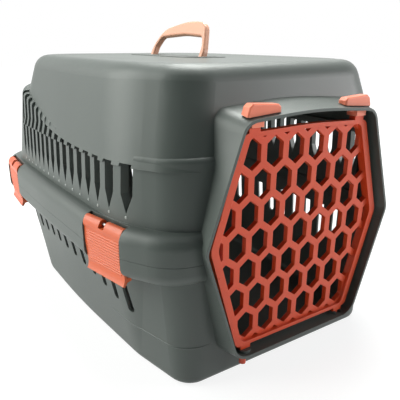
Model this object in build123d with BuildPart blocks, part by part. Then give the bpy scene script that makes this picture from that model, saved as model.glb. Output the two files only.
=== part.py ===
import os
from math import cos, radians, sin, sqrt, tan

from build123d import *

# Pet carrier, millimetres. +Z is up, the doorway faces -Y, z = 0 is the floor.
# The origin is on the floor, at the middle of the body.

# Walls and running gaps
wall = 2.6
gap = 0.3
pin_clearance = 0.06

# How far a cut or a hidden overlap runs past the surface that it opens or joins
over = 1.0
beyond = 300.0

# Heights
parting = 134.0
crease = 161.0
lip_bottom = 113.0
shoulder_front = 224.0
shoulder_rear = 260.0
roof = 296.5
pad_height = 0.8

# Body seen from above: half widths, and where its front and rear walls stand
half_bottom = 146.5
half_parting = 161.7
half_crease = 163.6
half_shoulder = 158.9
half_roof = 141.5
ledge_rear = 7.9
front_bottom = -215.0
front_parting = -214.5
front_crease = -216.0
front_shoulder = -213.0
front_roof = -192.1
rear_bottom = 185.0
rear_parting = 215.0
rear_crease = 217.0
rear_shoulder = 186.0
rear_roof = 168.5
side_bow = 2.4
side_bow_bottom = 8.0
rear_bow = 3.6
corner_cut = 36.0
corner_run = 62.0
corner_cut_bottom = 21.0
corner_run_bottom = 75.0
knee_radius = 120.0
front_radius = 46.0
front_radius_bottom = 24.0
side_radius = 1500.0
rear_radius = 80.0
bottom_round = 8.0
bottom_steps = 5
roof_round = 20.0
shoulder_round = 5.0
shoulder_bend_front = -4.0
shoulder_bend_rear = 155.0
shoulder_bend_radius = 700.0
shoulder_rear_radius = 200.0
box_root = 12.0

# Rolled band round the hood, and the lip of the base under it
band_half = 179.5
band_front = -224.5
band_rear = 231.0
band_corner_cut = 38.0
band_corner_run = 66.0
band_round = 13.0
lip_round = 12.0
solid_span = 60.0
band_wall = 2.6
tongue_height = 7.0
tongue_inset = 1.4
tongue_thickness = 2.2

# Doorway collar: the hexagonal rim and the neck behind it
rim_front = -236.0
neck_rear = -205.0
collar_inner_end = -190.0
collar_lap = 6.0
rim_top_half, rim_top = 80.0, 254.5
rim_mid_half, rim_mid = 119.0, 147.0
rim_bottom_half, rim_bottom = 81.0, 27.5
neck_top_half, neck_top = 88.0, 260.5
neck_mid_half = 109.5
neck_bottom_half, neck_bottom = 92.0, 28.5
rim_crown = 5.5
rim_top_radius = 17.0
rim_mid_radius = 16.0
rim_bottom_radius = 20.0
rim_crown_radius = 500.0

# Side vents of the hood
vent_count = 16
vent_first = -163.0
vent_pitch = 23.6
vent_squeeze = 0.31
vent_share = 0.57
vent_bottom = 170.0
vent_point = 17.0
rib_depth = 7.5
lining_margin = 4.0
ledge_thickness = 9.0

# Rear vents of the hood
rear_vent_count = 9
rear_vent_width = 13.4
rear_vent_top = 240.0
rear_vent_from = 100.0

# Side vents of the base
slot_count = 12
slot_first = -147.0
slot_pitch = 25.4
slot_width = 9.6
slot_bottom = 77.0
slot_top = 111.0
slot_arch_radius = 820.0
slot_arch_centre = 20.0
slot_lean = 7.0
rear_slot_count = 6

# Door
door_top_half, door_top = 76.0, 243.0
door_mid_half, door_mid = 108.5, 145.0
door_bottom_half, door_bottom = 77.0, 37.5
door_crown = 2.5
door_top_radius = 7.0
door_mid_radius = 14.0
door_bottom_radius = 7.0
door_crown_radius = 500.0
door_front = -228.6
door_back = -221.4
lattice_front = -225.2
lattice_back = -220.0
border_side = 7.6
border_end = 3.8
cell_width = 25.6
cell_height = 27.7
strand = 6.7
lattice_reach = 27.0
cell_slope = 35.5
lattice_middle = 141.0
lattice_rows = 4
lattice_columns = 4

# Door pins and their seats
pin_x = 65.5
pin_y = (door_front + door_back) / 2
door_pin_radius = 3.4
tab_width = 12.0
tab_height = 4.0
top_pin_end = 251.5
hinge_pin_end = 15.5
loose_pin_end = 30.6
seat_radius = 7.5
seat_floor = 28.6

# Door latches
latch_length = 36.6
latch_middle = 58.0
latch_depth = 9.0
latch_height_outer = 10.5
latch_height_inner = 7.0
latch_front = -232.0
latch_travel = 12.0
latch_nose = 6.5
latch_bevel = 2.6
latch_edge = 1.2
latch_lift = 0.6
stem_from, stem_to = 54.0, 62.0
stem_depth = 4.0
keeper_from, keeper_to = 58.0, 71.0
keeper_wall = 2.4
keeper_bottom = 247.6
keeper_top = 252.6

# Clips that hold the hood to the base
clip_length = 59.0
clip_turn_front = 10.5
clip_turn_rear = 4.0
clip_inset_front = 7.2
clip_inset_rear = 3.2
clip_y_front = -141.6
clip_y_rear = 142.0
hinge_out = 9.5
hinge_height = 155.5
knuckle_radius = 4.3
clip_pin_radius = 1.5
clip_pin_hold = 4.5
clip_out = 14.6
clip_face_middle = 140.0
clip_face_radius = 170.0
clip_inner = 9.9
pocket_floor = 9.2
pocket_back = 4.4
pocket_reach = 30.0
pocket_over = 4.0
pocket_under = 6.0
pocket_ramp_low, pocket_ramp_high = 3.4, 0.8
clip_hook_top = lip_bottom - 0.6
clip_hook_in = 5.0
clip_bottom = 103.5
clip_crown_drop = 7.5
clip_brow_out, clip_brow_up = 4.0, 1.7
clip_lip_bulge = 0.2
clip_lip_width, clip_lip_height = 2.2, 1.2
clip_hook_depth, clip_hook_tip = 4.6, 3.8
clip_notch = 8.5
clip_notch_reach, clip_notch_depth = 17.0, 14.0
clip_ridges = 12
clip_ridge_radius = 0.9
clip_ridge_sunk = 0.3
clip_ridge_pitch = 2.75
clip_ridge_margin = 4.0
clip_ridge_top = 145.0
pocket_solid = 8.0

# Carrying handle
handle_middle = 3.5
handle_foot = 56.0
handle_lean = 22.0
handle_pivot = 291.5
handle_thickness = 8.0
handle_leg = 7.0
handle_outer_rear = (48.0, 37.0)
handle_outer_top = (-14.0, 48.0)
handle_outer_front = (-46.0, 44.5)
handle_rear_radius = 38.0
handle_front_radius = 15.0
handle_inner_rear = (44.5, 28.0)
handle_inner_top = (-5.0, 31.0)
handle_inner_front = (-47.0, 28.5)
handle_inner_radius = 9.0
handle_outer_knee = 12.0
handle_inner_knee = 16.0
handle_knee_radius = 16.0
handle_crown_radius = 150.0
handle_round = 2.2
trunnion_radius = 3.0
trunnion_length = 3.0
socket_wall = 3.0
socket_reach = 21.5
socket_play = 0.6
pad_half = 26.0
pad_reach = 76.0
pad_round = 12.0

os.makedirs("parts", exist_ok=True)


def keep(piece, name):
    """Label a finished piece and write it to its file."""
    piece.label = name
    export_step(piece, f"parts/{name}.step")


plan_radii = [front_radius, knee_radius, side_radius, rear_radius]


def plan(level, half, front, rear, inset=0.0, cut=corner_cut, run=corner_run, bow=side_bow, radii=None):
    """Outline of the body seen from above, at one level."""
    radii = radii or plan_radii
    with BuildSketch(Plane.XY.offset(level)) as section:
        with BuildLine():
            right = [
                (half - cut, front),
                (half - bow, front + run),
                (half, 0),
                (half - rear_bow, rear),
            ]
            left = [(-x, y) for x, y in reversed(right)]
            FilletPolyline(right + left, radius=radii + radii[::-1], close=True)
        make_face()
        if inset:
            offset(amount=-inset)
    return section.sketch


def between(level, low, high, low_value, high_value):
    """Value at a level on a straight wall that is given at two levels."""
    return low_value + (high_value - low_value) * (level - low) / (high - low)


def hood_plan(level, inset=0.0):
    """Outline of the lower hood wall at a level: upright up to the crease, then drawn in."""
    sizes = [
        between(max(level, crease), crease, shoulder_rear, low, high)
        for low, high in (
            (half_crease, half_shoulder),
            (front_crease, front_shoulder),
            (rear_crease, rear_shoulder),
        )
    ]
    return plan(level, *sizes, inset=inset)


def top_plan(level, inset=0.0):
    """Outline of the narrower upper box of the hood at a level."""
    draft = (half_shoulder - ledge_rear - half_roof) / (roof - shoulder_rear)
    grow = draft * (roof - level)
    return plan(level, half_roof + grow, front_roof - grow, rear_roof + grow, inset=inset)


def base_plan(level, inset=0.0):
    """Outline of the base wall at a level, with squarer front corners toward the floor."""
    half, front, rear, cut, run, bow, corner = (
        between(level, 0, parting, low, high)
        for low, high in (
            (half_bottom, half_parting),
            (front_bottom, front_parting),
            (rear_bottom, rear_parting),
            (corner_cut_bottom, corner_cut),
            (corner_run_bottom, corner_run),
            (side_bow_bottom, side_bow),
            (front_radius_bottom, front_radius),
        )
    )
    radii = [corner, knee_radius, side_radius, rear_radius]
    return plan(level, half, front, rear, inset, cut, run, bow, radii)


def band_plan(level, inset=0.0):
    """Outline of the rolled band at a level."""
    return plan(level, band_half, band_front, band_rear, inset, band_corner_cut, band_corner_run)


def hexagon(depth, top_half, top, mid_half, mid, bottom_half, bottom, crown, radii, inset=0.0):
    """Six-sided outline of the doorway on an upright plane, with an arched top edge."""
    with BuildSketch(Plane.XZ.offset(-depth)) as section:
        with BuildLine():
            right = [(bottom_half, bottom), (mid_half, mid), (top_half, top)]
            left = [(-x, z) for x, z in reversed(right)]
            corners = right + [(0, top + crown)] + left
            FilletPolyline(corners, radius=radii, close=True)
        make_face()
        if inset:
            offset(amount=-inset)
    return section


rim_radii = [
    rim_bottom_radius,
    rim_mid_radius,
    rim_top_radius,
    rim_crown_radius,
    rim_top_radius,
    rim_mid_radius,
    rim_bottom_radius,
]
door_radii = [
    door_bottom_radius,
    door_mid_radius,
    door_top_radius,
    door_crown_radius,
    door_top_radius,
    door_mid_radius,
    door_bottom_radius,
]


def collar_section(depth, inset=0.0):
    """Outline of the collar at a depth between its rim and the body."""
    half_top, top, half_mid, half_low, low = (
        between(depth, rim_front, neck_rear, near, far)
        for near, far in (
            (rim_top_half, neck_top_half),
            (rim_top, neck_top),
            (rim_mid_half, neck_mid_half),
            (rim_bottom_half, neck_bottom_half),
            (rim_bottom, neck_bottom),
        )
    )
    section = hexagon(
        depth, half_top, top, half_mid, rim_mid, half_low, low, rim_crown, rim_radii, inset
    )
    return section.sketch


def roof_at(x, y):
    """Height of the collar roof's outer face."""
    half_top = between(y, rim_front, neck_rear, rim_top_half, neck_top_half)
    top = between(y, rim_front, neck_rear, rim_top, neck_top)
    return top + rim_crown * (1 - abs(x) / half_top)


def clip_plane(side, end):
    """Plane across a clip: x points away from the body, y is up, z runs along the clip."""
    turn, inset, y = (
        (clip_turn_front, clip_inset_front, clip_y_front)
        if end < 0
        else (clip_turn_rear, clip_inset_rear, clip_y_rear)
    )
    outward = (side * cos(radians(turn)), end * sin(radians(turn)), 0)
    along = (outward[1], -outward[0], 0)
    return Plane(origin=(side * (half_crease - inset), y, 0), x_dir=outward, z_dir=along)


clips = {
    "front_left": clip_plane(-1, -1),
    "front_right": clip_plane(1, -1),
    "rear_left": clip_plane(-1, 1),
    "rear_right": clip_plane(1, 1),
}


def under_shoulder(lower=0.0):
    """Side view of everything under the ledge, which rises to the rear."""
    with BuildSketch(Plane.YZ) as view:
        with BuildLine():
            FilletPolyline(
                (-beyond, 0),
                (-beyond, shoulder_front - lower),
                (shoulder_bend_front, shoulder_front - lower),
                (shoulder_bend_rear, shoulder_rear - lower),
                (beyond, shoulder_rear - lower),
                (beyond, 0),
                radius=[0, 0, shoulder_bend_radius, shoulder_rear_radius, 0, 0],
                close=True,
            )
        make_face()
    return view


def pocket_view(plane):
    """Pocket that a clip sits in, seen along the clip."""
    far, high, low = pocket_reach, crease + pocket_over, clip_bottom - pocket_under
    seat = hinge_height - knuckle_radius
    with BuildSketch(plane) as view:
        with BuildLine():
            Polyline(
                (pocket_floor, low),
                (pocket_floor, seat - pocket_ramp_low),
                (pocket_back, seat - pocket_ramp_high),
                (pocket_back, high),
                (far, high),
                (far, low),
                close=True,
            )
        make_face()
    return view.sketch


# Space inside the doorway collar, cut from both shells
with BuildPart() as doorway:
    loft([collar_section(rim_front - over, wall), collar_section(collar_inner_end, wall)], ruled=True)

# Solid collar, before its space is cut out
with BuildPart() as collar:
    loft([collar_section(rim_front), collar_section(collar_inner_end - collar_lap)], ruled=True)

# Solid upper box of the hood
with BuildPart() as upper_box:
    loft([top_plan(shoulder_front - box_root), top_plan(roof)], ruled=True)
    fillet(upper_box.faces().sort_by(Axis.Z)[-1].edges(), roof_round)

# Space inside the hood
with BuildPart() as hood_space:
    extrude(hood_plan(parting - over, wall), amount=crease - parting + over)
    loft([hood_plan(crease, wall), hood_plan(shoulder_rear + over, wall)], ruled=True)
    extrude(under_shoulder(wall).sketch, amount=band_half, both=True, mode=Mode.INTERSECT)
    loft([top_plan(shoulder_front - box_root, wall), top_plan(roof - wall, wall)], ruled=True)
    fillet(hood_space.faces().sort_by(Axis.Z)[-1].edges(), roof_round - wall)

# Rolled band of the hood, before the clip pockets
with BuildPart() as band:
    extrude(band_plan(parting), amount=crease - parting)
    fillet(band.faces().sort_by(Axis.Z)[-1].edges(), band_round)

# Lip of the base under the band
with BuildPart() as lip:
    extrude(band_plan(lip_bottom), amount=parting - lip_bottom)
    fillet(lip.faces().sort_by(Axis.Z)[0].edges(), lip_round)


def vent_place(index):
    """Distance of a hood vent along the side: the vents stand closer together toward the rear."""
    return vent_first + vent_pitch * index - vent_squeeze * index**2


def side_vents():
    """Side view of every hood vent, open at the top and pointed at the bottom."""
    top = shoulder_rear + vent_point
    with BuildSketch(Plane.YZ) as view:
        for index in range(vent_count):
            y = vent_place(index)
            half = vent_share * (vent_pitch - 2 * vent_squeeze * index) / 2
            with BuildLine():
                Polyline(
                    (y, vent_bottom),
                    (y + half, vent_bottom + vent_point),
                    (y + half, top),
                    (y - half, top),
                    (y - half, vent_bottom + vent_point),
                    close=True,
                )
            make_face()
    return view.sketch_local


with BuildPart() as vents:
    with BuildSketch(Plane.YZ):
        add(side_vents())
        add(under_shoulder(ledge_thickness).sketch_local, mode=Mode.INTERSECT)
    extrude(amount=band_half, both=True)

with BuildPart() as notches:
    with BuildSketch(Plane.YZ):
        add(side_vents())
        add(under_shoulder(ledge_thickness).sketch_local, mode=Mode.SUBTRACT)
    extrude(amount=band_half, both=True)
    add(upper_box.part, mode=Mode.SUBTRACT)

# Vents in the rear wall of the hood, pointed at the bottom
with BuildPart() as rear_vents:
    half = rear_vent_width / 2
    with BuildSketch(Plane.XZ.offset(-rear_vent_from)):
        with Locations(
            *[
                ((index - (rear_vent_count - 1) / 2) * vent_pitch, vent_bottom)
                for index in range(rear_vent_count)
            ]
        ):
            Polygon(
                (0, 0),
                (half, vent_point),
                (half, rear_vent_top - vent_bottom),
                (-half, rear_vent_top - vent_bottom),
                (-half, vent_point),
                align=None,
            )
    extrude(amount=-band_rear)

# Thicker lining behind the hood vents, which makes their ribs deep
with BuildPart() as lining:
    low, high = vent_bottom - lining_margin, shoulder_rear
    loft([hood_plan(low, wall / 2), hood_plan(high, wall / 2)], ruled=True)
    loft([hood_plan(low, rib_depth), hood_plan(high, rib_depth)], ruled=True, mode=Mode.SUBTRACT)
    with BuildSketch(Plane.YZ):
        with BuildLine():
            near = vent_first - vent_pitch / 2
            far = vent_place(vent_count - 0.5)
            Polyline((near, low), (far, low), (far, high), (near, high), close=True)
        make_face()
        add(under_shoulder(wall / 2).sketch_local, mode=Mode.INTERSECT)
    extrude(amount=band_half, both=True, mode=Mode.INTERSECT)

# Places where the band and the lip stay solid: beside the clips and across the doorway
with BuildPart() as solid_places:
    for plane in clips.values():
        with BuildSketch(plane):
            with Locations((0, parting)):
                Rectangle(solid_span, solid_span)
        extrude(amount=clip_length / 2 + pocket_solid, both=True)
    with Locations((0, rim_front, parting)):
        Box(2 * (rim_mid_half + wall), solid_span, solid_span)

# Hollow inside the band and inside the lip
with BuildPart() as band_hollow:
    extrude(band_plan(parting - over, band_wall), amount=crease - parting + over - band_wall)
    fillet(band_hollow.faces().sort_by(Axis.Z)[-1].edges(), band_round - band_wall)
    extrude(hood_plan(parting - 2 * over), amount=crease - parting + 3 * over, mode=Mode.SUBTRACT)
    add(solid_places.part, mode=Mode.SUBTRACT)
with BuildPart() as lip_hollow:
    extrude(band_plan(lip_bottom + band_wall, band_wall), amount=parting - lip_bottom)
    fillet(lip_hollow.faces().sort_by(Axis.Z)[0].edges(), lip_round - band_wall)
    loft([base_plan(lip_bottom - over), base_plan(crease)], ruled=True, mode=Mode.SUBTRACT)
    add(solid_places.part, mode=Mode.SUBTRACT)

# Space of the clip pockets
with BuildPart() as pockets:
    for plane in clips.values():
        extrude(pocket_view(plane), amount=clip_length / 2 + 2 * gap, both=True)

# Steel pins of the clips, with their length held in the hood at both ends
pins = {}
for place, plane in clips.items():
    with BuildPart() as clip_pin:
        with BuildSketch(plane):
            with Locations((hinge_out, hinge_height)):
                Circle(clip_pin_radius)
        extrude(amount=clip_length / 2 + clip_pin_hold, both=True)
    pins[place] = clip_pin.part

# Raised pad on the roof, with a socket under it for each foot of the handle
handle_feet = (handle_middle - handle_foot, handle_middle + handle_foot)
foot_radius = handle_thickness / 2
socket_half = handle_leg / 2 + socket_play
socket_low = handle_pivot - foot_radius - socket_play
with BuildPart() as handle_mount:
    with BuildSketch(Plane.XY.offset(roof - wall)):
        with Locations((0, handle_middle)):
            RectangleRounded(2 * pad_half, 2 * pad_reach, pad_round)
    extrude(amount=wall + pad_height)
    fillet(handle_mount.faces().sort_by(Axis.Z)[-1].edges(), pad_height / 2)
    with BuildSketch(Plane.XY.offset(socket_low - socket_wall)):
        with Locations(*[(0, foot) for foot in handle_feet]):
            Rectangle(2 * (socket_reach + socket_wall), 2 * (socket_half + socket_wall))
    extrude(amount=roof - wall / 2 - socket_low + socket_wall)

with BuildPart() as handle_room:
    with BuildSketch(Plane.XY.offset(socket_low)):
        with Locations(*[(0, foot) for foot in handle_feet]):
            Rectangle(2 * socket_reach, 2 * socket_half)
    extrude(amount=roof)
    for foot in handle_feet:
        with BuildSketch(Plane.XZ.offset(-foot)):
            with Locations((0, handle_pivot)):
                Circle(trunnion_radius + pin_clearance)
        extrude(amount=socket_half + socket_wall + gap, both=True)

# Slots in the collar roof for the stems of the latches
with BuildPart() as latch_slots:
    for side in (-1, 1):
        near, far = stem_from - latch_travel - gap, stem_to + gap
        with BuildSketch(Plane.XY.offset(keeper_top)):
            with Locations((side * (near + far) / 2, pin_y)):
                Rectangle(far - near, stem_depth + 2 * gap)
        extrude(amount=latch_height_outer + wall)

# Least part of a face's normal that points up, and of an edge's direction that runs across
upward = 0.9
crosswise = 0.99

with BuildPart() as hood:
    loft([hood_plan(crease), hood_plan(shoulder_rear + over)], ruled=True)
    extrude(under_shoulder().sketch, amount=band_half, both=True, mode=Mode.INTERSECT)
    ledge = [face for face in hood.faces() if face.normal_at().Z > upward]
    ledge_rim = [
        edge
        for face in ledge
        for edge in face.edges()
        if abs(edge.tangent_at(0.5).X) < crosswise
        or abs(edge.center().Y) > rear_shoulder - shoulder_round
    ]
    fillet(ledge_rim, shoulder_round)
    extrude(hood_plan(parting), amount=crease - parting)
    add(upper_box.part)
    add(band.part)
    add(collar.part)
    add(hood_space.part, mode=Mode.SUBTRACT)
    add(lining.part)
    add(doorway.part, mode=Mode.SUBTRACT)
    split(bisect_by=Plane.XY.offset(parting + gap / 2), keep=Keep.TOP)
    add(vents.part, mode=Mode.SUBTRACT)
    add(notches.part, mode=Mode.SUBTRACT)
    add(rear_vents.part, mode=Mode.SUBTRACT)
    add(band_hollow.part, mode=Mode.SUBTRACT)
    add(pockets.part, mode=Mode.SUBTRACT)
    for pin in pins.values():
        add(pin, mode=Mode.SUBTRACT)
    add(handle_mount.part)
    add(handle_room.part, mode=Mode.SUBTRACT)
    add(latch_slots.part, mode=Mode.SUBTRACT)

keep(hood.part, "hood_shell")


def side_slots():
    """Side view of every base vent, leaning, with a round bottom."""
    with BuildSketch(Plane.YZ) as view:
        for index in range(slot_count):
            y = slot_first + index * slot_pitch
            low = slot_bottom - (y - slot_arch_centre) ** 2 / (2 * slot_arch_radius)
            radius = slot_width / 2
            with BuildLine():
                Line((y - radius, low + radius), (y - radius + slot_lean, slot_top))
                Line((y - radius + slot_lean, slot_top), (y + radius + slot_lean, slot_top))
                Line((y + radius + slot_lean, slot_top), (y + radius, low + radius))
                ThreePointArc((y + radius, low + radius), (y, low), (y - radius, low + radius))
            make_face()
    return view.sketch


def rear_slots():
    """Rear view of the base vents in the rear wall, upright, with round bottoms on an arch."""
    radius = slot_width / 2
    with BuildSketch(Plane.XZ) as view:
        for index in range(rear_slot_count):
            x = (index - (rear_slot_count - 1) / 2) * slot_pitch
            low = slot_bottom - x**2 / (2 * slot_arch_radius) + radius
            with Locations((x, low)):
                Circle(radius)
            with Locations((x, (low + slot_top) / 2)):
                Rectangle(slot_width, slot_top - low)
    return view.sketch


def tub_sections(thickness, top):
    """Outlines of the base from its rounded bottom edge up to a level, drawn in by a thickness."""
    radius = bottom_round - thickness
    sections = []
    for step in range(bottom_steps + 1):
        turn = radians(90 * step / bottom_steps)
        level = thickness + radius * (1 - cos(turn))
        sections.append(base_plan(level, thickness + radius * (1 - sin(turn))))
    return sections + [base_plan(top, thickness)]


with BuildPart() as base_space:
    loft(tub_sections(wall, parting + over), ruled=True)

with BuildPart() as base:
    loft(tub_sections(0, parting), ruled=True)
    add(lip.part)
    add(collar.part)
    add(base_space.part, mode=Mode.SUBTRACT)
    split(bisect_by=Plane.XY.offset(parting - gap / 2), keep=Keep.BOTTOM)
    extrude(base_plan(parting - tongue_height, tongue_inset), amount=2 * tongue_height)
    extrude(
        base_plan(parting - tongue_height, tongue_inset + tongue_thickness),
        amount=2 * tongue_height,
        mode=Mode.SUBTRACT,
    )
    add(doorway.part, mode=Mode.SUBTRACT)
    extrude(side_slots(), amount=band_half, both=True, mode=Mode.SUBTRACT)
    extrude(rear_slots(), amount=-band_rear, mode=Mode.SUBTRACT)
    add(lip_hollow.part, mode=Mode.SUBTRACT)
    add(pockets.part, mode=Mode.SUBTRACT)
    seat_top = door_bottom - tab_height - gap
    with BuildSketch(Plane.XY.offset(seat_floor)):
        with Locations((-pin_x, pin_y), (pin_x, pin_y)):
            Circle(seat_radius)
    extrude(amount=seat_top - seat_floor)
    with BuildSketch(Plane.XY.offset(rim_bottom - wall)):
        with Locations((-pin_x, pin_y)):
            Circle(door_pin_radius + pin_clearance)
    extrude(amount=seat_top, mode=Mode.SUBTRACT)
    with BuildSketch(Plane.XY.offset(loose_pin_end - gap)):
        with Locations((pin_x, pin_y)):
            Circle(door_pin_radius + gap)
        with Locations((pin_x, pin_y - seat_radius)):
            Rectangle(2 * (door_pin_radius + gap), 2 * seat_radius)
    extrude(amount=seat_top, mode=Mode.SUBTRACT)

keep(base.part, "base_shell")


def door_section(depth, side=0.0, end=0.0):
    """Outline of the door at a depth, drawn in by a border at the sides and at the ends."""
    upper = (door_mid_half - door_top_half) / (door_top - door_mid)
    lower = (door_mid_half - door_bottom_half) / (door_mid - door_bottom)
    return hexagon(
        depth,
        door_top_half + upper * end - side * sqrt(1 + upper**2),
        door_top - end,
        door_mid_half - side * sqrt(1 + upper**2),
        door_mid,
        door_bottom_half + lower * end - side * sqrt(1 + lower**2),
        door_bottom + end,
        door_crown,
        door_radii,
    )


def lattice_openings():
    """Openings of the door lattice: six-sided cells with upright sides."""
    half = (cell_width - strand) / 2
    rise = half * tan(radians(cell_slope))
    cell_rise = cell_width / 2 * tan(radians(cell_slope))
    upright = (cell_height - cell_rise) / 2 + cell_rise
    tip = upright - strand / 2 / cos(radians(cell_slope))
    cell = [(0, tip), (half, tip - rise), (half, rise - tip)]
    cell += [(-x, -z) for x, z in cell]
    with BuildSketch(Plane.XZ.offset(-lattice_back - strand)) as view:
        for row in range(-lattice_rows, lattice_rows + 1):
            shift = cell_width / 2 * (row % 2)
            columns = range(-lattice_columns, lattice_columns + 1 - row % 2)
            with Locations(
                *[
                    (column * cell_width + shift, lattice_middle + row * cell_height)
                    for column in columns
                ]
            ):
                Polygon(*cell)
        add(door_section(lattice_back, border_side, border_end).sketch_local, mode=Mode.INTERSECT)
    return view.sketch


with BuildPart() as door:
    extrude(door_section(door_back).sketch, amount=door_back - door_front)
    inner = door_section(lattice_front, border_side, border_end).sketch
    extrude(inner, amount=strand, mode=Mode.SUBTRACT)
    extrude(
        door_section(lattice_back, border_side - over, border_end - over).sketch,
        amount=lattice_back - lattice_front,
    )
    extrude(lattice_openings(), amount=lattice_reach, both=True, mode=Mode.SUBTRACT)
    for side in (-1, 1):
        low_end = hinge_pin_end if side < 0 else loose_pin_end
        with BuildSketch(Plane.XY.offset(door_bottom - tab_height)):
            with Locations((side * pin_x, pin_y)):
                Rectangle(tab_width, door_back - door_front)
        extrude(amount=tab_height + border_end / 2)
        with BuildSketch(Plane.XY.offset(door_top - border_end / 2)):
            with Locations((side * pin_x, pin_y)):
                Rectangle(tab_width, door_back - door_front)
        extrude(amount=tab_height + border_end / 2)
        with BuildSketch(Plane.XY.offset(door_top)):
            with Locations((side * pin_x, pin_y)):
                Circle(door_pin_radius)
        extrude(amount=top_pin_end - door_top)
        with BuildSketch(Plane.XY.offset(door_bottom)):
            with Locations((side * pin_x, pin_y)):
                Circle(door_pin_radius)
        extrude(amount=low_end - door_bottom)

keep(door.part, "door_grille")

# Sliding latches: a cap on the collar roof, a stem through it and a keeper round the door pin
roof_slope = (roof_at(0, latch_front) - roof_at(latch_middle, latch_front)) / latch_middle
roof_rise = (neck_top - rim_top) / (neck_rear - rim_front)
for side, name in ((-1, "latch_left"), (1, "latch_right")):
    start = (side * latch_middle, latch_front, roof_at(latch_middle, latch_front) + latch_lift)
    with BuildPart() as latch:
        with BuildSketch(Plane(start, x_dir=(-side, 0, roof_slope), z_dir=(0, side, 0))):
            with BuildLine():
                end = latch_length / 2
                Polyline(
                    (-end, -gap),
                    (-end, latch_bevel / 2),
                    (latch_bevel - end, latch_height_outer - latch_bevel),
                    (latch_nose - end, latch_height_outer),
                    (end - latch_bevel, latch_height_inner),
                    (end, latch_height_inner - latch_bevel),
                    (end, -gap),
                    close=True,
                )
            make_face()
        extrude(amount=side * latch_depth)
        with BuildSketch(Plane(start, x_dir=(0, 1, 0), z_dir=(1, 0, -side * roof_slope))):
            with BuildLine():
                Polyline(
                    (0, 0),
                    (latch_depth, roof_rise * latch_depth),
                    (latch_depth, latch_height_outer + wall),
                    (0, latch_height_outer + wall),
                    close=True,
                )
            make_face()
        extrude(amount=latch_length, both=True, mode=Mode.INTERSECT)
        front = latch.faces().sort_by(Axis.Y)[0]
        chamfer(front.edges().sort_by(SortBy.LENGTH)[:-1], latch_edge)
        with BuildSketch(Plane.XY.offset(keeper_top - over)):
            with Locations((side * (stem_from + stem_to) / 2, pin_y)):
                Rectangle(stem_to - stem_from, stem_depth)
        extrude(amount=latch_height_inner)
        reach = door_pin_radius + gap
        with BuildSketch(Plane.XY.offset(keeper_bottom)):
            with Locations((side * (keeper_from + keeper_to) / 2, pin_y)):
                Rectangle(keeper_to - keeper_from, 2 * (reach + keeper_wall))
            with Locations((side * pin_x, pin_y)):
                Circle(reach, mode=Mode.SUBTRACT)
            with Locations((side * (pin_x + keeper_wall + reach), pin_y)):
                Rectangle(2 * (keeper_wall + reach), 2 * reach, mode=Mode.SUBTRACT)
        extrude(amount=keeper_top - keeper_bottom)
    keep(latch.part, name)


def clip_face(level):
    """Distance of the outer face of a clip from the body wall at a level."""
    return clip_out - (level - clip_face_middle) ** 2 / (2 * clip_face_radius)


def clip_view(plane):
    """Clip seen along its length: knuckle, curved plate, hook and flared tip."""
    top, low = hinge_height - clip_crown_drop, lip_bottom + over
    middle = (top + low) / 2
    with BuildSketch(plane) as view:
        with BuildLine():
            ThreePointArc(
                (hinge_out, hinge_height + knuckle_radius),
                (hinge_out + clip_brow_out, hinge_height + clip_brow_up),
                (clip_face(top), top),
            )
            ThreePointArc(
                (clip_face(top), top), (clip_face(middle), middle), (clip_face(low), low)
            )
            ThreePointArc(
                (clip_face(low), low),
                (clip_face(low) + clip_lip_bulge, (low + clip_bottom) / 2),
                (clip_out, clip_bottom + clip_lip_height),
            )
            Polyline(
                (clip_out, clip_bottom + clip_lip_height),
                (clip_out - clip_lip_width, clip_bottom),
                (clip_inner - gap, clip_hook_top - clip_hook_depth),
                (clip_hook_in, clip_hook_top - clip_hook_tip),
                (clip_hook_in, clip_hook_top),
                (clip_inner, clip_hook_top),
                (clip_inner, hinge_height - knuckle_radius),
                (hinge_out, hinge_height - knuckle_radius),
                (hinge_out, hinge_height + knuckle_radius),
            )
        make_face()
        with Locations((hinge_out, hinge_height)):
            Circle(knuckle_radius)
            Circle(clip_pin_radius + pin_clearance, mode=Mode.SUBTRACT)
    return view.sketch


for place, plane in clips.items():
    with BuildPart() as clip:
        extrude(clip_view(plane), amount=clip_length / 2, both=True)
        with BuildSketch(plane):
            for index in range(clip_ridges):
                level = clip_ridge_top - index * clip_ridge_pitch
                with Locations((clip_face(level) - clip_ridge_sunk, level)):
                    Circle(clip_ridge_radius)
        extrude(amount=clip_length / 2 - clip_ridge_margin, both=True)
        with BuildSketch(plane):
            with Locations((hinge_out, hinge_height + knuckle_radius)):
                Rectangle(clip_notch_reach, clip_notch_depth)
        extrude(amount=clip_notch / 2, both=True, mode=Mode.SUBTRACT)
    keep(clip.part, f"clip_{place}")
    keep(pins[place], f"clip_pin_{place}")

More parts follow.
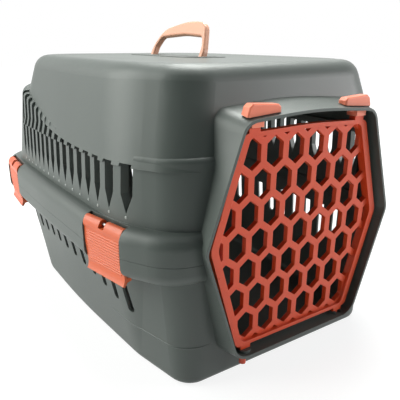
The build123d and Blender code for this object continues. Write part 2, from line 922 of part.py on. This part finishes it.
with BuildPart() as handle:
    lean = radians(handle_lean)
    arch = Plane((0, handle_middle, handle_pivot), x_dir=(0, 1, 0), z_dir=(cos(lean), 0, -sin(lean)))
    leg_out, leg_in = handle_foot + handle_leg / 2, handle_foot - handle_leg / 2
    with BuildSketch(arch):
        with BuildLine():
            FilletPolyline(
                (leg_out, 0),
                (leg_out, handle_outer_knee),
                handle_outer_rear,
                handle_outer_top,
                handle_outer_front,
                (-leg_out, handle_outer_knee),
                (-leg_out, 0),
                radius=[
                    handle_knee_radius,
                    handle_rear_radius,
                    handle_crown_radius,
                    handle_front_radius,
                    handle_knee_radius,
                ],
            )
            FilletPolyline(
                (leg_in, 0),
                (leg_in, handle_inner_knee),
                handle_inner_rear,
                handle_inner_top,
                handle_inner_front,
                (-leg_in, handle_inner_knee),
                (-leg_in, 0),
                radius=[
                    handle_inner_radius,
                    handle_inner_radius,
                    handle_crown_radius,
                    handle_inner_radius,
                    handle_inner_radius,
                ],
            )
            Line((leg_in, 0), (leg_out, 0))
            Line((-leg_in, 0), (-leg_out, 0))
        make_face()
    extrude(amount=handle_thickness / 2, both=True)
    sides = [arch.to_local_coords(edge.center()) for edge in handle.edges()]
    rim = [
        edge
        for edge, place in zip(handle.edges(), sides)
        if abs(abs(place.Z) - handle_thickness / 2) < handle_round / 2 and place.Y > handle_round
    ]
    fillet(rim, handle_round)
    for foot in handle_feet:
        with BuildSketch(Plane.XZ.offset(-foot)):
            with Locations((0, handle_pivot)):
                Circle(foot_radius)
        extrude(amount=handle_leg / 2, both=True)
        with BuildSketch(Plane.XZ.offset(-foot)):
            with Locations((0, handle_pivot)):
                Circle(trunnion_radius)
        extrude(amount=handle_leg / 2 + trunnion_length, both=True)

keep(handle.part, "carry_handle")
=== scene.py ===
"""Looks of the pet carrier: materials, small moulded details, floor, lights and camera."""

import math

import bmesh
import bpy
from mathutils import Matrix, Vector


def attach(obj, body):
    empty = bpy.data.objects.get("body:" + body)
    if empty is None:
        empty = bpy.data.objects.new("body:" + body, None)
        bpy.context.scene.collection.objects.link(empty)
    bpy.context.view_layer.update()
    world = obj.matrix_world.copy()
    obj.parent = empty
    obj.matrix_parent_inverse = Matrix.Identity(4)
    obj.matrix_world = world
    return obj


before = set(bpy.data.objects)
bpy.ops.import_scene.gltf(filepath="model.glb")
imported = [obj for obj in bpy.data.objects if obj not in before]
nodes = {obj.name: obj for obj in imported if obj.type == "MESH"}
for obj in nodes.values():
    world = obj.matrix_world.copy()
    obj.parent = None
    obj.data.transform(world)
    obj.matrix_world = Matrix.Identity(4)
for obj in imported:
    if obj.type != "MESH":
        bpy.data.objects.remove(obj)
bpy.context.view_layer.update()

MM = 0.001

# Where a straight line that looks for a wall starts, in millimetres: beside or in front of
# the carrier, or above it
OUTSIDE = 300
ABOVE = 330

# Round knobs: points in a ring, and radius of the smallest ring, in millimetres
KNOB_STEPS = 20
KNOB_TIP = 0.01

# Dots under the vents of the hood, in millimetres
VENT_COUNT = 16
VENT_FIRST = -163.0
VENT_PITCH = 23.6
VENT_SQUEEZE = 0.31
DOT_LEVEL = 166.6
DOT_RADIUS = 1.5
DOT_HEIGHT = 0.7
DOT_ROOT = 0.4
DOT_ARCS = 5

# Post beside the right latch: place, and (radius, height) pairs of its outline, in millimetres
POST_PLACE = (84.5, -222)
POST_OUTLINE = [(1.7, -1.0), (1.7, 4.0), (1.5, 4.9), (1.0, 5.5), (0.3, 5.7)]

# Bead round each lower front corner of the base: the centre and the degrees of its turn,
# in millimetres
BEAD_LEVEL = 43.0
BEAD_CENTRE_X = 80
BEAD_CENTRE_Y = -130
BEAD_TURN = range(-28, 82, 2)
# Its rings: size in millimetres, and height and depth in the wall as shares of that size
BEAD_SIDES = 8
BEAD_SIZE = 0.9
BEAD_END_SIZE = 0.05
BEAD_TAPER_RINGS = 6
BEAD_TALL = 1.4
BEAD_SUNK = 0.4

# Ejector marks on each side of the door's border, and outline of one, in millimetres
MARKS_PER_SIDE = ((80, 222), (98, 173), (98, 118), (82, 60))
MARK_OUTLINE = [(1.1, -0.3), (1.1, 0.15), (0.9, 0.25), (0.2, 0.15)]

# Colours, as linear values
SHELL = (0.061, 0.073, 0.066, 1)
SHELL_PALE = (0.117, 0.137, 0.123, 1)
DOOR = (0.61, 0.049, 0.009, 1)
DOOR_PALE = (0.76, 0.145, 0.042, 1)
CLIP = (0.55, 0.068, 0.010, 1)
CLIP_PALE = (0.80, 0.240, 0.080, 1)
LATCH = (0.88, 0.200, 0.105, 1)
LATCH_PALE = (0.92, 0.420, 0.320, 1)
# Pale grey of the dots under the vents: a painted highlight, the glint on each small dome
DOT_GLINT = (0.34, 0.36, 0.34, 1)
DOT_GLINT_PALE = (0.50, 0.52, 0.50, 1)
HANDLE = (0.76, 0.37, 0.24, 1)
HANDLE_PALE = (0.82, 0.51, 0.37, 1)
STEEL = (0.55, 0.55, 0.56, 1)
STEEL_DARK = (0.35, 0.35, 0.36, 1)
FLOOR_SHADE = (0.22, 0.22, 0.22, 1)
FLOOR_BOUNCE = (0.80, 0.80, 0.80, 1)
SKY = (0.80, 0.91, 1.0, 1)
WHITE = (1, 1, 1, 1)

# Moulded plastic: cosines at which the painted highlight on an edge starts and is full
EDGE_HIGHLIGHT_SPAN = (0.995, 0.85)
EDGE_SAMPLES = 6
# Slow drift of colour and gloss, and the share of paler colour that it adds
DRIFT_SCALE = 9
DRIFT_DETAIL = 3
DRIFT_PALES = 0.25
GLOSS_UNDER = 0.05
GLOSS_OVER = 0.07
# Spark-eroded grain, its depth in millimetres
FINE_GRAIN = 2600
COARSE_GRAIN = 1500
GRAIN_DETAIL = 2
GRAIN_DEPTH = 0.1

# Drawn steel: lines along a pin
LINE_STRETCH = (1, 0.03, 1)
LINE_SCALE = 4000
LINE_DETAIL = 2
LINE_ROUGHNESS = (0.22, 0.38)

# Level direction of the darker room in front of the carrier
ROOM = (-0.62, -0.78, 0)

# Floor: half its width, and how its glow fades to plain white with distance, in metres
FLOOR_REACH = 6.0
FADE_SPAN = (0.35, 1.1)
FADE_GLOW = (0.84, 1.0)
# Reflections toward the room: where they start and end to dim, and what is left
FLOOR_DIM_SPAN = (0.3, 0.8)
FLOOR_DIM_LEAST = 0.1
SKY_DIM_SPAN = (0.0, 0.75)
SKY_DIM_LEAST = 0.08
SKY_STRENGTH = 0.14

# Lamps: name, place and width in metres, power in watts, colour
LAMPS = [
    ("key", (-1.9, 1.2, 1.7), 1.9, 76, (0.97, 1.0, 0.95)),
    ("low", (-2.2, 0.8, 0.2), 1.0, 17, (0.97, 1.0, 0.96)),
    ("top", (0.6, 0.6, 2.0), 1.2, 68, (0.97, 1.0, 0.96)),
    ("front", (2.1, -1.6, 0.8), 1.0, 34, (1.0, 1.0, 1.0)),
]
LAMP_TARGET = (0, 0, 0.16)

# Camera: place in millimetres, directions, lens in millimetres and shift of its frame
CAMERA_PLACE = (-328.8, -535.8, 313.7)
CAMERA_AHEAD = (0.52755883, 0.77498109, -0.34797412)
CAMERA_RIGHT = (0.82788029, -0.56087267, 0.00600573)
SENSOR_WIDTH = 36
FOCAL_LENGTH = 43.868
FRAME_SHIFT = 0.055
CAMERA_REACH = 50


def new_material(name):
    """Material with shader nodes."""
    material = bpy.data.materials.new(name)
    material.use_nodes = True
    return material


def plug(tree, value, socket):
    """Link an output to a socket, or set a plain value on the socket."""
    if isinstance(value, bpy.types.NodeSocket):
        tree.links.new(value, socket)
    else:
        socket.default_value = value


def computed(tree, kind, operation, *values):
    """Result of a math node of either kind."""
    node = tree.nodes.new(kind)
    node.operation = operation
    for socket, value in zip(node.inputs, values):
        plug(tree, value, socket)
    return node.outputs["Value"]


def ranged(tree, value, source, result, curve="LINEAR"):
    """Value carried over from a source range to a result range."""
    node = tree.nodes.new("ShaderNodeMapRange")
    node.interpolation_type = curve
    names = ("From Min", "From Max", "To Min", "To Max")
    for name, number in zip(names, (*source, *result)):
        node.inputs[name].default_value = number
    tree.links.new(value, node.inputs["Value"])
    return node.outputs["Result"]


def noise(tree, place, scale, detail):
    """Noise at a place."""
    node = tree.nodes.new("ShaderNodeTexNoise")
    node.inputs["Scale"].default_value = scale
    node.inputs["Detail"].default_value = detail
    tree.links.new(place, node.inputs["Vector"])
    return node.outputs["Fac"]


def blended(tree, share, first, second):
    """Colour between two colours."""
    node = tree.nodes.new("ShaderNodeMix")
    node.data_type = "RGBA"
    node.inputs["A"].default_value = first
    node.inputs["B"].default_value = second
    tree.links.new(share, node.inputs["Factor"])
    return node.outputs["Result"]


def rounded_edges(tree, radius, edge_highlight):
    """Normal rounded over sharp edges, and a painted highlight of paler colour where it turns
    away from the flat face.
    """
    soft = tree.nodes.new("ShaderNodeBevel")
    soft.samples = EDGE_SAMPLES
    soft.inputs["Radius"].default_value = radius * MM
    normal = soft.outputs["Normal"]
    flat = tree.nodes.new("ShaderNodeNewGeometry").outputs["Normal"]
    turned = computed(tree, "ShaderNodeVectorMath", "DOT_PRODUCT", normal, flat)
    return normal, ranged(tree, turned, EDGE_HIGHLIGHT_SPAN, (0, edge_highlight))


def grained(tree, place, grain, strength, normal):
    """Normal with a fine grain on it."""
    relief = tree.nodes.new("ShaderNodeBump")
    relief.inputs["Strength"].default_value = strength
    relief.inputs["Distance"].default_value = GRAIN_DEPTH * MM
    tree.links.new(noise(tree, place, grain, GRAIN_DETAIL), relief.inputs["Height"])
    tree.links.new(normal, relief.inputs["Normal"])
    return relief.outputs["Normal"]


def moulded(name, colour, pale, roughness, grain, bump, edge_highlight=0.35, edge=0.5):
    """Moulded plastic: fine spark-eroded grain, slow colour drift, soft edges made paler as a
    painted highlight.
    """
    material = new_material(name)
    tree = material.node_tree
    surface = tree.nodes["Principled BSDF"].inputs
    place = tree.nodes.new("ShaderNodeTexCoord").outputs["Object"]
    normal, highlit_edge = rounded_edges(tree, edge, edge_highlight)
    drift = noise(tree, place, DRIFT_SCALE, DRIFT_DETAIL)
    # Paler colour: the slow drift, plus the painted highlight along the edges
    amount = computed(tree, "ShaderNodeMath", "MULTIPLY_ADD", drift, DRIFT_PALES, highlit_edge)
    gloss = ranged(tree, drift, (0, 1), (roughness - GLOSS_UNDER, roughness + GLOSS_OVER))
    tree.links.new(blended(tree, amount, colour, pale), surface["Base Color"])
    tree.links.new(gloss, surface["Roughness"])
    tree.links.new(grained(tree, place, grain, bump, normal), surface["Normal"])
    return material


def drawn_steel():
    """Bright wire with fine lines along its length."""
    material = new_material("pin_steel")
    tree = material.node_tree
    surface = tree.nodes["Principled BSDF"].inputs
    surface["Metallic"].default_value = 1
    place = tree.nodes.new("ShaderNodeTexCoord").outputs["Object"]
    stretch = tree.nodes.new("ShaderNodeMapping")
    stretch.inputs["Scale"].default_value = LINE_STRETCH
    tree.links.new(place, stretch.inputs["Vector"])
    lines = noise(tree, stretch.outputs["Vector"], LINE_SCALE, LINE_DETAIL)
    tree.links.new(blended(tree, lines, STEEL_DARK, STEEL), surface["Base Color"])
    tree.links.new(ranged(tree, lines, (0, 1), LINE_ROUGHNESS), surface["Roughness"])
    return material


shell_plastic = moulded(
    "shell_plastic", SHELL, SHELL_PALE, roughness=0.44, grain=FINE_GRAIN, bump=0.30
)
door_plastic = moulded(
    "door_plastic", DOOR, DOOR_PALE, roughness=0.38, grain=COARSE_GRAIN, bump=0.10
)
clip_plastic = moulded(
    "clip_plastic", CLIP, CLIP_PALE, roughness=0.36, grain=COARSE_GRAIN, bump=0.10
)
# The latches get a stronger and wider painted highlight on their edges
latch_plastic = moulded(
    "latch_plastic", LATCH, LATCH_PALE, roughness=0.36, grain=COARSE_GRAIN, bump=0.10,
    edge_highlight=0.8, edge=0.9,
)
handle_plastic = moulded(
    "handle_plastic", HANDLE, HANDLE_PALE, roughness=0.40, grain=COARSE_GRAIN, bump=0.10
)
# Pale grey plastic of the vent dots: a painted highlight
dot_glint_plastic = moulded(
    "dot_glint_plastic", DOT_GLINT, DOT_GLINT_PALE, roughness=0.30, grain=FINE_GRAIN, bump=0.10
)
pin_steel = drawn_steel()

# Material for nodes by the start of their name; the pins come before the clips
coats = {
    "base_shell": shell_plastic,
    "hood_shell": shell_plastic,
    "door_grille": door_plastic,
    "latch_": latch_plastic,
    "clip_pin_": pin_steel,
    "clip_": clip_plastic,
    "carry_handle": handle_plastic,
}
for name, node in nodes.items():
    coat = next(material for start, material in coats.items() if name.startswith(start))
    node.data.materials.clear()
    node.data.materials.append(coat)


def new_piece(name, build, material, body):
    """Object made by a function that fills a bmesh, riding on a body."""
    shape = bmesh.new()
    build(shape)
    mesh = bpy.data.meshes.new(name)
    shape.to_mesh(mesh)
    shape.free()
    for face in mesh.polygons:
        face.use_smooth = True
    piece = bpy.data.objects.new(name, mesh)
    bpy.context.scene.collection.objects.link(piece)
    mesh.materials.append(material)
    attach(piece, body)


def sided(name, side):
    """Name of a piece with its side."""
    return f"{name}_left" if side < 0 else f"{name}_right"


def touch(node, start, way):
    """Point and normal where a straight line from a place, in millimetres, first meets a node."""
    hit, place, normal, _ = nodes[node].ray_cast(Vector(start) * MM, Vector(way))
    return (place / MM, normal) if hit else (None, None)


def skin(shape, rings):
    """Faces between each ring of points and the next."""
    for low, high in zip(rings, rings[1:]):
        for step in range(len(low)):
            after = (step + 1) % len(low)
            shape.faces.new((low[step], low[after], high[after], high[step]))


def turned_knob(shape, foot, normal, outline):
    """Round knob: an outline of (radius, height) pairs turned about a normal."""
    across = normal.orthogonal().normalized()
    other = normal.cross(across)
    rings = []
    for radius, height in outline:
        centre = (Vector(foot) + normal * height) * MM
        ring = []
        for step in range(KNOB_STEPS):
            angle = 2 * math.pi * step / KNOB_STEPS
            spoke = across * math.cos(angle) + other * math.sin(angle)
            ring.append(shape.verts.new(centre + spoke * max(radius, KNOB_TIP) * MM))
        rings.append(ring)
    skin(shape, rings)
    shape.faces.new(rings[-1])
    shape.faces.new(rings[0][::-1])


def dot_outline():
    """Outline of a low dome that starts a little inside the wall."""
    arc = [math.pi / 2 * step / DOT_ARCS for step in range(DOT_ARCS + 1)]
    over = [(DOT_RADIUS * math.cos(angle), DOT_HEIGHT * math.sin(angle)) for angle in arc]
    return [(DOT_RADIUS, -DOT_ROOT)] + over


def vent_dots(side):
    """Small round marks moulded on the hood wall, one under each vent, in a pale grey that paints
    their glint as a highlight.
    """

    def build(shape):
        for index in range(VENT_COUNT):
            y = VENT_FIRST + VENT_PITCH * index - VENT_SQUEEZE * index**2
            start = (side * OUTSIDE, y, DOT_LEVEL)
            foot, normal = touch("hood_shell", start, (-side, 0, 0))
            if foot is not None:
                turned_knob(shape, foot, normal, dot_outline())

    new_piece(sided("vent_dots", side), build, dot_glint_plastic, "hood")


def latch_stop():
    """Short round-topped post beside the outer end of the right latch."""
    foot, _ = touch("hood_shell", (*POST_PLACE, ABOVE), (0, 0, -1))

    def build(shape):
        turned_knob(shape, foot, Vector((0, 0, 1)), POST_OUTLINE)

    new_piece("latch_stop_right", build, shell_plastic, "hood")


def corner_line(side):
    """Points and normals on the wall of the base, round one of its lower front corners."""
    middle = Vector((side * BEAD_CENTRE_X, BEAD_CENTRE_Y, BEAD_LEVEL))
    spine = []
    for degrees in BEAD_TURN:
        turn = math.radians(degrees)
        way = Vector((side * math.cos(turn), -math.sin(turn), 0))
        foot, normal = touch("base_shell", middle + OUTSIDE * way, -way)
        if foot is not None:
            spine.append((foot, normal))
    return spine


def corner_step(side):
    """Low bead round a lower front corner of the base, where its wall steps in."""
    spine = corner_line(side)
    last = len(spine) - 1

    def build(shape):
        rings = []
        for index, (foot, normal) in enumerate(spine):
            along = (spine[min(index + 1, last)][0] - spine[max(index - 1, 0)][0]).normalized()
            across = along.cross(normal)
            grown = min(1.0, index / BEAD_TAPER_RINGS, (last - index) / BEAD_TAPER_RINGS)
            size = BEAD_SIZE * grown + BEAD_END_SIZE
            ring = []
            for step in range(BEAD_SIDES):
                angle = 2 * math.pi * step / BEAD_SIDES
                out = normal * (math.sin(angle) - BEAD_SUNK)
                spoke = across * math.cos(angle) * BEAD_TALL + out
                ring.append(shape.verts.new((foot + spoke * size) * MM))
            rings.append(ring)
        skin(shape, rings)
        shape.faces.new(rings[0])
        shape.faces.new(rings[-1][::-1])
        bmesh.ops.recalc_face_normals(shape, faces=shape.faces)

    new_piece(sided("corner_step", side), build, shell_plastic, "base")


def door_marks():
    """Ejector marks on the flat border of the door: shallow round pads."""

    def build(shape):
        for side in (-1, 1):
            for x, z in MARKS_PER_SIDE:
                foot, normal = touch("door_grille", (side * x, -OUTSIDE, z), (0, 1, 0))
                if foot is not None:
                    turned_knob(shape, foot, normal, MARK_OUTLINE)

    new_piece("door_marks", build, door_plastic, "door")


def seen_directly(tree):
    """One for camera, glossy and transmission rays, nothing for the rays that spread light."""
    path = tree.nodes.new("ShaderNodeLightPath").outputs
    seen = computed(
        tree, "ShaderNodeMath", "MAXIMUM", path["Is Camera Ray"], path["Is Glossy Ray"]
    )
    return computed(tree, "ShaderNodeMath", "MAXIMUM", seen, path["Is Transmission Ray"])


def chosen(tree, spread, direct):
    """One shader for rays that spread light, another for rays that see the surface directly."""
    pick = tree.nodes.new("ShaderNodeMixShader")
    tree.links.new(seen_directly(tree), pick.inputs["Fac"])
    tree.links.new(spread, pick.inputs[1])
    tree.links.new(direct, pick.inputs[2])
    return pick.outputs["Shader"]


def dimmer(tree, place, span, least):
    """White for the camera, and less of it in reflections toward the room in front."""
    toward = computed(tree, "ShaderNodeVectorMath", "DOT_PRODUCT", place, ROOM)
    share = ranged(tree, toward, span, (1.0, least), "SMOOTHSTEP")
    camera_ray = tree.nodes.new("ShaderNodeLightPath").outputs["Is Camera Ray"]
    return computed(tree, "ShaderNodeMath", "MAXIMUM", share, camera_ray)


def floor_material():
    """White floor that keeps a soft shadow near the carrier and fades to plain white."""
    material = new_material("floor_white")
    tree = material.node_tree
    link = tree.links.new
    tree.nodes.remove(tree.nodes["Principled BSDF"])
    diffuse = tree.nodes.new("ShaderNodeBsdfDiffuse")
    diffuse.inputs["Color"].default_value = FLOOR_SHADE
    bounce = tree.nodes.new("ShaderNodeBsdfDiffuse")
    bounce.inputs["Color"].default_value = FLOOR_BOUNCE
    place = tree.nodes.new("ShaderNodeTexCoord").outputs["Object"]
    away = computed(tree, "ShaderNodeVectorMath", "LENGTH", place)
    fade = ranged(tree, away, FADE_SPAN, FADE_GLOW)
    white = dimmer(tree, place, FLOOR_DIM_SPAN, FLOOR_DIM_LEAST)
    glow = tree.nodes.new("ShaderNodeEmission")
    link(computed(tree, "ShaderNodeMath", "MULTIPLY", fade, white), glow.inputs["Strength"])
    both = tree.nodes.new("ShaderNodeAddShader")
    link(diffuse.outputs["BSDF"], both.inputs[0])
    link(glow.outputs["Emission"], both.inputs[1])
    surface = chosen(tree, bounce.outputs["BSDF"], both.outputs["Shader"])
    link(surface, tree.nodes["Material Output"].inputs["Surface"])
    return material


def make_floor():
    """Large pale floor that the carrier stands on."""
    reach = FLOOR_REACH
    corners = [(-reach, -reach, 0), (reach, -reach, 0), (reach, reach, 0), (-reach, reach, 0)]
    mesh = bpy.data.meshes.new("floor")
    mesh.from_pydata(corners, [], [(0, 1, 2, 3)])
    floor = bpy.data.objects.new("floor", mesh)
    bpy.context.scene.collection.objects.link(floor)
    mesh.materials.append(floor_material())


def make_world():
    """White surroundings for the camera, dimmed in reflections, and a soft pale blue light."""
    world = bpy.data.worlds.new("studio")
    bpy.context.scene.world = world
    world.use_nodes = True
    tree = world.node_tree
    soft = tree.nodes["Background"]
    soft.inputs["Color"].default_value = SKY
    soft.inputs["Strength"].default_value = SKY_STRENGTH
    white = tree.nodes.new("ShaderNodeBackground")
    white.inputs["Color"].default_value = WHITE
    place = tree.nodes.new("ShaderNodeTexCoord").outputs["Generated"]
    strength = dimmer(tree, place, SKY_DIM_SPAN, SKY_DIM_LEAST)
    tree.links.new(strength, white.inputs["Strength"])
    surface = chosen(tree, soft.outputs["Background"], white.outputs["Background"])
    tree.links.new(surface, tree.nodes["World Output"].inputs["Surface"])


def make_lamp(name, place, size, power, colour):
    """Square soft lamp that points at the carrier."""
    lamp = bpy.data.lights.new(name, "AREA")
    lamp.size = size
    lamp.energy = power
    lamp.color = colour
    holder = bpy.data.objects.new(name, lamp)
    bpy.context.scene.collection.objects.link(holder)
    holder.location = place
    aim = Vector(LAMP_TARGET) - Vector(place)
    holder.rotation_euler = aim.to_track_quat("-Z", "Y").to_euler()


def make_camera():
    """Camera at the photograph's viewing angle, with its slightly raised frame."""
    view = bpy.data.cameras.new("camera")
    view.sensor_width = SENSOR_WIDTH
    view.lens = FOCAL_LENGTH
    view.shift_y = FRAME_SHIFT
    view.clip_end = CAMERA_REACH
    camera = bpy.data.objects.new("camera", view)
    bpy.context.scene.collection.objects.link(camera)
    ahead = Vector(CAMERA_AHEAD)
    right = Vector(CAMERA_RIGHT)
    up = right.cross(ahead)
    turn = Matrix((right, up, -ahead)).transposed().to_4x4()
    camera.matrix_world = Matrix.Translation(Vector(CAMERA_PLACE) * MM) @ turn
    bpy.context.scene.camera = camera


for side in (-1, 1):
    vent_dots(side)
    corner_step(side)
latch_stop()
door_marks()

make_floor()
make_world()
for lamp in LAMPS:
    make_lamp(*lamp)
make_camera()
bpy.context.scene.view_settings.view_transform = "Standard"
